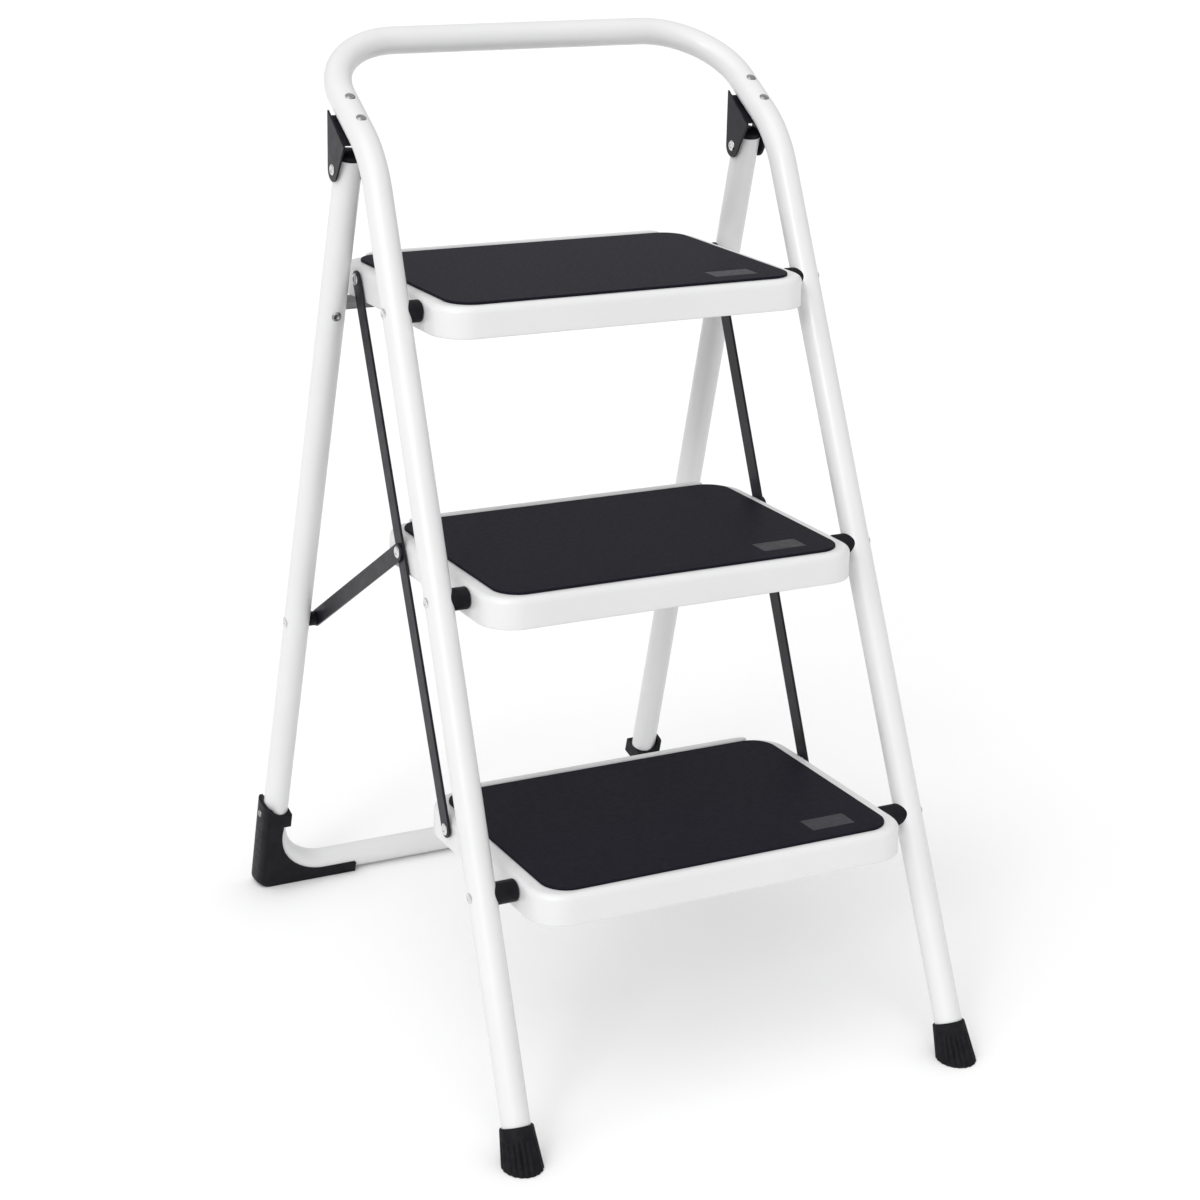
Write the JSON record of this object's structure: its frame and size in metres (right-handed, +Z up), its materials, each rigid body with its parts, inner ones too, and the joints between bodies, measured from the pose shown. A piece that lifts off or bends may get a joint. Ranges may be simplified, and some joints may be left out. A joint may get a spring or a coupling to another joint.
{
  "type": "folding step stool",
  "caption": "Folding step stool with padded treads between a bent-tube front frame with a hand rail and a hinged rear frame; linked treads swing up as the frames close.",
  "frame": {"origin": "middle of the footprint, on the floor", "axes": "+Z up, +Y towards the rear frame so the user climbs from -Y, +X to the right as seen by the user facing the steps; the stool stands open"},
  "size_m": [0.4722, 0.6574, 0.8883],
  "materials": {
    "white_paint": "smooth white powder coat",
    "black_paint": "satin black",
    "black_plastic": "satin black",
    "black_rubber": "matt black, ribbed",
    "mat_rubber": "matt charcoal, smooth",
    "mat_plate": "dark grey, satin",
    "zinc_steel": "zinc plated",
    "rivet_steel": "bright zinc"
  },
  "bodies": {
    "front_frame": {"front_tube": "white_paint", "left_hinge_bracket": "black_paint", "right_hinge_bracket": "black_paint", "bracket_rivets": "rivet_steel", "left_hinge_pin": "rivet_steel", "right_hinge_pin": "rivet_steel", "left_foot_cap": "black_rubber", "right_foot_cap": "black_rubber", "bottom_pivot_rivets": "rivet_steel", "middle_pivot_rivets": "rivet_steel", "top_pivot_rivets": "rivet_steel", "left_bottom_sleeve": "black_plastic", "left_middle_sleeve": "black_plastic", "left_top_sleeve": "black_plastic", "right_bottom_sleeve": "black_plastic", "right_middle_sleeve": "black_plastic", "right_top_sleeve": "black_plastic"},
    "rear_frame": {"rear_tube": "white_paint", "cross_bar": "zinc_steel", "cross_bar_rivets": "rivet_steel", "left_leg_plug": "black_plastic", "right_leg_plug": "black_plastic", "left_corner_boot": "black_plastic", "right_corner_boot": "black_plastic", "boot_screws": "rivet_steel", "left_stay_pivot": "rivet_steel", "right_stay_pivot": "rivet_steel", "left_stay_bush": "black_plastic", "right_stay_bush": "black_plastic"},
    "bottom_step": {"bottom_tread": "white_paint", "bottom_mat": "mat_rubber", "bottom_mat_plate": "mat_plate", "bottom_arm_rivets": "rivet_steel", "bottom_arm_washers": "zinc_steel"},
    "middle_step": {"middle_tread": "white_paint", "middle_mat": "mat_rubber", "middle_mat_plate": "mat_plate", "middle_arm_rivets": "rivet_steel", "middle_arm_washers": "zinc_steel"},
    "top_step": {"top_tread": "white_paint", "top_mat": "mat_rubber", "top_mat_plate": "mat_plate", "top_arm_rivets": "rivet_steel", "top_arm_washers": "zinc_steel"},
    "left_bar": {"left_link_bar": "black_paint"},
    "left_short_link": {"left_stay": "black_paint", "left_stay_rivet": "rivet_steel"},
    "right_bar": {"right_link_bar": "black_paint"},
    "right_short_link": {"right_stay": "black_paint", "right_stay_rivet": "rivet_steel"}
  },
  "joints": [
    {"name": "rear_fold", "type": "hinge", "parent": "front_frame", "child": "rear_frame", "pos_m": [0, 0.09835, 0.77408], "axis": [-1, 0, 0], "range_deg": [0, 30.9]},
    {"name": "bottom_step_swing", "type": "hinge", "parent": "front_frame", "child": "bottom_step", "pos_m": [0, -0.21726, 0.207], "axis": [1, 0, 0], "range_deg": [0, 57.5]},
    {"name": "middle_step_swing", "type": "hinge", "parent": "front_frame", "child": "middle_step", "pos_m": [0, -0.1163, 0.437], "axis": [1, 0, 0], "range_deg": [0, 57.5]},
    {"name": "top_step_swing", "type": "hinge", "parent": "front_frame", "child": "top_step", "pos_m": [0, -0.01533, 0.667], "axis": [1, 0, 0], "range_deg": [0, 57.5]},
    {"name": "left_bar_turn", "type": "hinge", "parent": "top_step", "child": "left_bar", "pos_m": [-0.1865, 0.12137, 0.669], "axis": [-1, 0, 0], "range_deg": [0, 57.5]},
    {"name": "right_bar_turn", "type": "hinge", "parent": "top_step", "child": "right_bar", "pos_m": [0.1865, 0.12137, 0.669], "axis": [-1, 0, 0], "range_deg": [0, 57.5]},
    {"name": "left_short_link_turn", "type": "hinge", "parent": "rear_frame", "child": "left_short_link", "pos_m": [-0.1893, 0.22649, 0.312], "axis": [-1, 0, 0], "range_deg": [0, 23.78]},
    {"name": "right_short_link_turn", "type": "hinge", "parent": "rear_frame", "child": "right_short_link", "pos_m": [0.1893, 0.22649, 0.312], "axis": [-1, 0, 0], "range_deg": [0, 23.78]}
  ],
  "couplings": [
    {"joint": "bottom_step_swing", "follows": "rear_fold", "ratio": 1.8606},
    {"joint": "middle_step_swing", "follows": "rear_fold", "ratio": 1.8606},
    {"joint": "top_step_swing", "follows": "rear_fold", "ratio": 1.8606},
    {"joint": "left_bar_turn", "follows": "rear_fold", "ratio": 1.8606},
    {"joint": "right_bar_turn", "follows": "rear_fold", "ratio": 1.8606},
    {"joint": "left_short_link_turn", "follows": "rear_fold", "ratio": 0.76948},
    {"joint": "right_short_link_turn", "follows": "rear_fold", "ratio": 0.76948}
  ]
}
